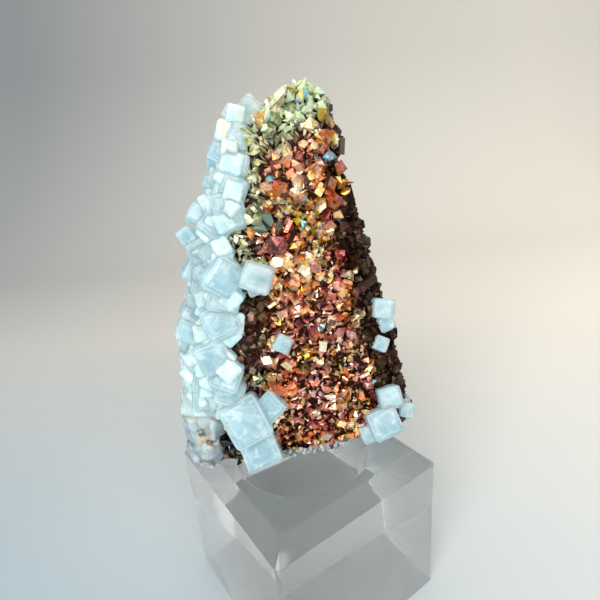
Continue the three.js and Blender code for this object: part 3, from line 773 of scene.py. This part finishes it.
def addBed(pile, bed):
    levels = np.arange(bed["low"], bed["high"], fluorite["bedStep"])
    around = round(120 / fluorite["bedStep"])
    angles = np.arange(around) / around * 2 * math.pi
    points, isBed = zip(*(bedPoint(bed, z, angle) for z in levels for angle in angles))
    faces = []
    for k in range(len(levels) - 1):
        for i in range(around):
            square = netSquare(around, k, i)
            if any(isBed[corner] for corner in square):
                faces.append(square)
    used = sorted({i for face in faces for i in face})
    place = {old: new for new, old in enumerate(used)}
    points = np.array([points[i] for i in used])
    points[:, 2] = np.maximum(points[:, 2], 0.03)
    faces = [tuple(place[i] for i in face) for face in faces]
    middles = [points[list(face)].mean(axis=0) for face in faces]
    stains = [stainAt(s, z) for s, _, z in middles]
    kinds = np.interp([z for _, _, z in middles], (4, 14), bed["kind"])
    pile.add(points, faces, {"stain": stains, "kind": kinds}, {"nest": 0.5})


def addBandCubes(skins, hearts, rng, between):  # those that face the viewer
    swing, sway = fluorite["swing"], fluorite["sway"]
    for s, z, size in bandCubes:
        middle, depth, halfWidth, halfDepth = sectionAt(z)
        isOutside = s < middle - halfWidth + 1
        t = depth - halfDepth * 0.45 if isOutside else surfaceT(s, z) - size * 0.12
        place = (s, t + float(np.interp(z, *fluorite["sunk"])), z)
        turn = between(-swing, swing)
        lean = leanAt(z) + between(-sway, sway)
        addGlassyCube(skins, hearts, rng, "soft", size, place, turn, lean, stainShare(s, z, rng) * 0.4)


def addEndCubes(skins, hearts, rng, between):
    end, squareness = fluorite["end"], stone["leftSquareness"]
    for row in range(end["rows"]):
        z = np.interp(row, (0, end["rows"] - 1), (end["low"], end["high"]))
        middle, depth, halfWidth, halfDepth = sectionAt(z)
        isNarrow = z > end["narrowAbove"]
        for across in end["across"]:
            t = min(across + between(-0.8, 0.8), depth + halfDepth * 0.8)
            bulge = 1 - abs((t - depth) / halfDepth) ** squareness
            s = middle - halfWidth * bulge ** (1 / squareness) - end["stepBack"][isNarrow]
            size = end["size"] * between(*end["sizes"]) * (end["narrower"] if isNarrow else 1)
            turn = between(-0.7, 0.7)
            addGlassyCube(skins, hearts, rng, "soft", size, (s, t, z), turn, between(-0.4, 0.4))


def addFillCubes(pile, rng):  # smaller cubes between the others
    fill, swing, sway = fluorite["fill"], fluorite["swing"], fluorite["sway"]
    for level in np.arange(fill["low"], fill["high"], fill["spacing"] * fluorite["rowPitch"]):
        for angle in evenAngles(level, fill["spacing"], rng):
            place, facing = skinPoint(level, angle, fill["swell"])
            if place.x > bandEdgeAt(level) - fill["inset"]:
                continue
            size = rng.uniform(*fill["size"])
            stain = stainShare(place.x, level, rng)
            lean = leanAt(level) + rng.uniform(-sway, sway)
            addCube(pile, rng, "plain", size, place, rng.uniform(-swing, swing), lean, stain)


def fluoriteBand(skins, hearts):
    rng = np.random.default_rng(fluorite["seed"])
    chance = seededFrom(fluorite["solidSeed"])

    def between(low, high):
        return low + (high - low) * next(chance)

    addBandCubes(skins, hearts, rng, between)
    addEndCubes(skins, hearts, rng, between)
    addBed(hearts, fluorite["bed"])
    addFillCubes(hearts, rng)


def singleFluorites(skins, hearts):
    rng = np.random.default_rng(fluorite["singleSeed"])
    for s, z, size, turn, proud in singleCubes:
        place = (s, surfaceT(s, z) - proud, z)
        addGlassyCube(skins, hearts, rng, "fine", size, place, math.radians(turn), leanAt(z))


def addGrain(pile, rng, size, place, stain=0.0):
    addCube(pile, rng, "grain", size, place, rng.uniform(-1.5, 1.5), rng.uniform(-1.5, 1.5), stain)


def sugaryFoot(finish):
    rng = np.random.default_rng(foot["seed"])
    pile = Pile("sugaryFoot")
    addBed(pile, foot["bed"])
    bareFrom, bareBefore, bareBelow = foot["bare"]
    for level in np.arange(foot["low"], foot["high"], foot["spacing"] * fluorite["rowPitch"]):
        for angle in evenAngles(level, foot["spacing"], rng):
            place, facing = skinPoint(level, angle, foot["swell"] + rng.uniform(*foot["jitter"]))
            isBare = place.x > bareFrom and place.y < bareBefore and level < bareBelow
            if isBare or place.x > bandEdgeAt(level) - foot["inset"]:
                continue
            size = rng.uniform(*foot["size"])
            addGrain(pile, rng, size, place, stainShare(place.x, level, rng))
    rim, corner = foot["rim"], foot["corner"]
    grains = [(s, rng.uniform(*rim["heights"])) for s in np.arange(*rim["along"])]
    grains += [(s, z) for s in corner["s"] for z in np.arange(*corner["z"])]
    for s, z in grains:
        addGrain(pile, rng, rng.uniform(*rim["size"]), (s, surfaceT(s, z) - rim["sink"], z))
    return pile.build(finish, "pyrite", foot["smoothBelow"])


def fluoriteFinish(name):
    look, white = fluorite["looks"][name], fluorite["white"]
    rough, edgeLight = look["roughness"], look["edgeLight"]
    f = Finish(
        name, IOR=1.434, Transmission_Weight=look["seeThrough"],
        Subsurface_Weight=1.0, Subsurface_Radius=(1.0, 1.4, 1.6), Subsurface_Scale=3 * mm,
        Emission_Color=look["pale"], Emission_Strength=look["paintedGlow"],  # painted glow: emission that lifts the shade, as if light came through from behind
    )
    veil = f.clip(f.speckle(2.4, 4, 0.6) + (f.stored("kind") - 0.5) * 0.12, 0.4, 0.6)
    colour = f.mix(veil, look["deep"], look["pale"])
    nest = f.stored("nest") + f.clip(f.speckle(1.5, 2), 0.3, 0.7, -0.09, 0.09)
    black, grey = (0, 0, 0), (0.5, 0.5, 0.5)  # a growth line inside each edge
    grown = f.ramp(nest, [(0, black), (0.58, black), (0.64, grey), (0.7, black), (1, black)])
    patches = f.clip(f.speckle(1.7, 3, 0.6), 0.56, 0.6)  # white flaws inside
    brighter = {0: grown * edgeLight, 1: patches * edgeLight * 0.7}
    colour = f.mix(f.node("ShaderNodeMath", {"operation": "MAXIMUM"}, brighter), colour, white)
    # painted highlight: each edge whitened
    colour = f.mix(f.clip(f.stored("nest"), 0.86, 0.97, 0, edgeLight), colour, white)
    spots = f.clip(f.speckle(0.9, 3), 0.45, 0.6) * f.stored("stain")
    f.feed(Base_Color=f.mix(spots, colour, fluorite["rustColour"]))
    f.feed(Roughness=f.clip(f.speckle(1.2, 3), 0.3, 0.7, rough, rough + 0.12))
    f.feed(Normal=f.bump(f.speckle(0.9, 3, 0.5) + f.speckle(2.2, 2), *fluorite["bump"]))
    return f


# The clear block

block = {
    "width": 40.0,
    "height": 37.5,
    "topChamfer": 3.2,
    "cornerChamfer": 0.7,
    "softEdge": 0.22,
    "sharpAbove": 24,  # degrees
    "dish": [(15.0, 0.0), (14.75, -0.3), (14.3, -0.8), (13.6, -1.15), (12.6, -1.3)],  # the lip
    "dishDepth": 3.2,
    "dishAround": 160,
    "dishSteps": 14,
    "looks": {"clearAcrylic": (0.04, 0.09), "sawnAcrylic": (0.55, 0.7)},  # roughness, clean and smeared
}


def blockCorners():
    half, high = block["width"] / 2, block["height"]
    chamfer, corner = block["topChamfer"], block["cornerChamfer"]
    corners = []
    for x in (-1, 1):
        for y in (-1, 1):
            for z in (0, high - chamfer):
                corners += [(x * half, y * (half - corner), z), (x * (half - corner), y * half, z)]
            corners.append((x * (half - chamfer), y * (half - chamfer), high))
    return corners


def cutDish(bm):  # in place of the block's top face
    around, steps, high, deep = (block[key] for key in ("dishAround", "dishSteps", "height", "dishDepth"))
    top = max(bm.faces, key=lambda face: face.calc_center_median().z * 1000 + face.calc_area())
    rim = list(top.edges)
    bm.faces.remove(top)
    profile = list(block["dish"])
    bowlRadius, bowlTop = profile[-1]
    for k in range(1, steps):  # the bowl below the lip
        share = 1 - k / steps
        profile.append((bowlRadius * share, -deep + (deep + bowlTop) * share ** 2))
    angles = np.arange(around) / around * 2 * math.pi
    rings = [[bm.verts.new((r * math.cos(a), r * math.sin(a), high + z)) for a in angles] for r, z in profile]
    lowest = bm.verts.new((0, 0, high - deep))
    for outer, inner in zip(rings, rings[1:]):
        for i in range(around):
            j = (i + 1) % around
            bm.faces.new((outer[i], outer[j], inner[j], inner[i]))
    for i in range(around):
        bm.faces.new((rings[-1][i], rings[-1][(i + 1) % around], lowest))
    lip = [bm.edges.get((rings[0][i], rings[0][(i + 1) % around])) for i in range(around)]
    bmesh.ops.triangle_fill(bm, edges=rim + lip, use_beauty=True, normal=(0, 0, 1))


def clearBlock(finish, baseFinish):
    bm = bmesh.new()
    points, faces = hullOf(blockCorners())
    verts = [bm.verts.new(p) for p in points]
    for face in faces:
        bm.faces.new([verts[i] for i in face])
    bmesh.ops.bevel(bm, geom=bm.edges[:], offset=block["softEdge"], segments=2, affect="EDGES", profile=0.6)
    cutDish(bm)
    bmesh.ops.recalc_face_normals(bm, faces=bm.faces)
    bmesh.ops.scale(bm, vec=(mm, mm, mm), verts=bm.verts)
    mesh = bpy.data.meshes.new("clearBlock")
    bm.to_mesh(mesh)
    bm.free()
    mesh.shade_smooth()
    mesh.set_sharp_from_angle(angle=math.radians(block["sharpAbove"]))
    mesh.materials.append(finish.material)
    mesh.materials.append(baseFinish.material)
    for face in mesh.polygons:
        face.material_index = 1 if face.normal.z < -0.9 else 0
    made = bpy.data.objects.new("clearBlock", mesh)
    bpy.context.collection.objects.link(made)
    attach(made, "root")
    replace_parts(made, "display_block")
    return made


def clearFinish(name):
    f = Finish(name, IOR=1.49, Transmission_Weight=1.0)
    f.feed(Base_Color=f.mix(f.clip(f.speckle(18), 0.4, 0.6), (0.97, 0.98, 0.96, 1), (0.99, 0.99, 0.98, 1)))
    f.feed(Roughness=f.clip(f.speckle(6, 3), 0.45, 0.7, *block["looks"][name]))
    return f


# Camera, floor and lights

view = {"place": (-44.71, -70.57, 104.96), "turn": (68.155, 4.465, -35.639), "lens": 28.2, "sensor": 36}
room = {
    "floorDrop": 0.05, "front": 600, "back": 520, "wallHigh": 700, "wide": 1600, "bend": 260, "bendSteps": 24,
    "turn": -34,  # square to the camera
    # painted light and shade on the floor and wall: grey at the far left, a warm pool of light at the far
    # right, a blue shadow near the left, all darker up the wall
    "farLeftShaded": ((0.46, 0.46, 0.45, 1), (0.34, 0.35, 0.35, 1)),  # on the floor and up the wall
    "farRightLit": ((1.0, 0.93, 0.80, 1), (0.84, 0.78, 0.68, 1)),
    "near": ((0.22, 0.34, 0.42, 1), (0.58, 0.61, 0.61, 1)),  # at the left and at the right
    "sky": (0.80, 0.84, 0.88, 1), "skyStrength": 0.6,
}
lamps = [  # name, place, aim, size, watts and colour
    ("windowLight", (-360, -220, 300), (0, 0, 70), 300, 2.2, (0.95, 0.98, 1.0)),
    ("frontLight", (-60, -480, 330), (0, 0, 70), 320, 1.2, (1.0, 0.97, 0.93)),
    ("warmLight", (330, -60, 260), (0, 0, 70), 200, 0.2, (1.0, 0.86, 0.68)),
    ("topLight", (20, 60, 480), (0, 0, 60), 300, 0.4, (1.0, 0.98, 0.95)),
]


def camera():
    data = bpy.data.cameras.new("camera")
    data.lens, data.sensor_width, data.clip_start = view["lens"], view["sensor"], 5 * mm
    made = bpy.data.objects.new("camera", data)
    made.location = Vector(view["place"]) * mm
    made.rotation_euler = [math.radians(a) for a in view["turn"]]
    bpy.context.collection.objects.link(made)
    bpy.context.scene.camera = made


def sweepFinish():  # painted light and shade: darker up the wall, grey at the far left, a warm pool of light at the far right and a blue shadow near the left
    f = Finish("paleSweepPaintedLight", Roughness=0.75)
    across, away, up = (f.node("ShaderNodeSeparateXYZ", {}, {0: f.place()}, out=axis) for axis in range(3))
    rise = f.clip(up, 0.0, 0.16)
    far = f.mix(f.clip(across, -0.28, 0.28), f.mix(rise, *room["farLeftShaded"]), f.mix(rise, *room["farRightLit"]))
    near = f.mix(f.clip(across, -0.09, 0.10), *room["near"])
    f.feed(Base_Color=f.mix(f.clip(away, -0.06, 0.14), near, far))
    return f


def sweep(finish):  # a pale floor that curves up into a wall
    back, bend, steps = room["back"], room["bend"], room["bendSteps"]
    outline = [(-room["front"], 0)]
    for k in range(steps + 1):
        a = k / steps * math.pi / 2
        outline.append((back - bend + math.sin(a) * bend, bend * (1 - math.cos(a))))
    outline.append((back, room["wallHigh"]))
    half, drop = room["wide"] / 2, room["floorDrop"]
    points = [(x * half * mm, y * mm, (z - drop) * mm) for y, z in outline for x in (-1, 1)]
    mesh = bpy.data.meshes.new("sweep")
    mesh.from_pydata(points, [], [(2 * k, 2 * k + 1, 2 * k + 3, 2 * k + 2) for k in range(len(outline) - 1)])
    mesh.shade_smooth()
    mesh.materials.append(finish.material)
    made = bpy.data.objects.new("sweep", mesh)
    made.rotation_euler.z = math.radians(room["turn"])
    bpy.context.collection.objects.link(made)
    made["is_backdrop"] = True


def lights():
    for name, place, aim, size, watts, colour in lamps:
        data = bpy.data.lights.new(name, "AREA")
        data.shape, data.size, data.energy, data.color = "DISK", size * mm, watts, colour
        made = bpy.data.objects.new(name, data)
        made.location = Vector(place) * mm
        made.rotation_euler = (Vector(aim) - Vector(place)).to_track_quat("-Z", "Y").to_euler()
        made.visible_transmission = False  # the lamps themselves don't show through the clear block
        bpy.context.collection.objects.link(made)
    world = bpy.data.worlds.new("room")
    world.use_nodes = True
    background = world.node_tree.nodes["Background"]
    background.inputs["Color"].default_value = room["sky"]
    background.inputs["Strength"].default_value = room["skyStrength"]
    bpy.context.scene.world = world
    bpy.context.scene.view_settings.view_transform = "Standard"
    bpy.context.scene.cycles.glossy_bounces = 10  # light turns many corners inside the clear block


print("camera, floor and lights")
camera()
sweep(sweepFinish())
lights()

print("clear block")
clearBlock(clearFinish("clearAcrylic"), clearFinish("sawnAcrylic"))  # polished, and sawn underneath

print("pyrite crust")
crust = pyriteCrust(pyriteFinish())
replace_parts(crust, "pyrite_specimen")

print("fluorite")
skins, hearts = Pile("fluoriteCubes"), Pile("fluoriteBand")
fluoriteBand(skins, hearts)
singleFluorites(skins, hearts)
icy, milky, sugary = (fluoriteFinish(name) for name in fluorite["looks"])
for pile, finish in ((skins, icy), (hearts, milky)):
    piece = pile.build(finish, "pyrite", fluorite["smoothBelow"])
    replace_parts(piece, "pyrite_specimen")
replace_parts(sugaryFoot(sugary), "pyrite_specimen")

[[list(corner) for corner in box] for box in (cadBox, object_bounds())]
print("done")
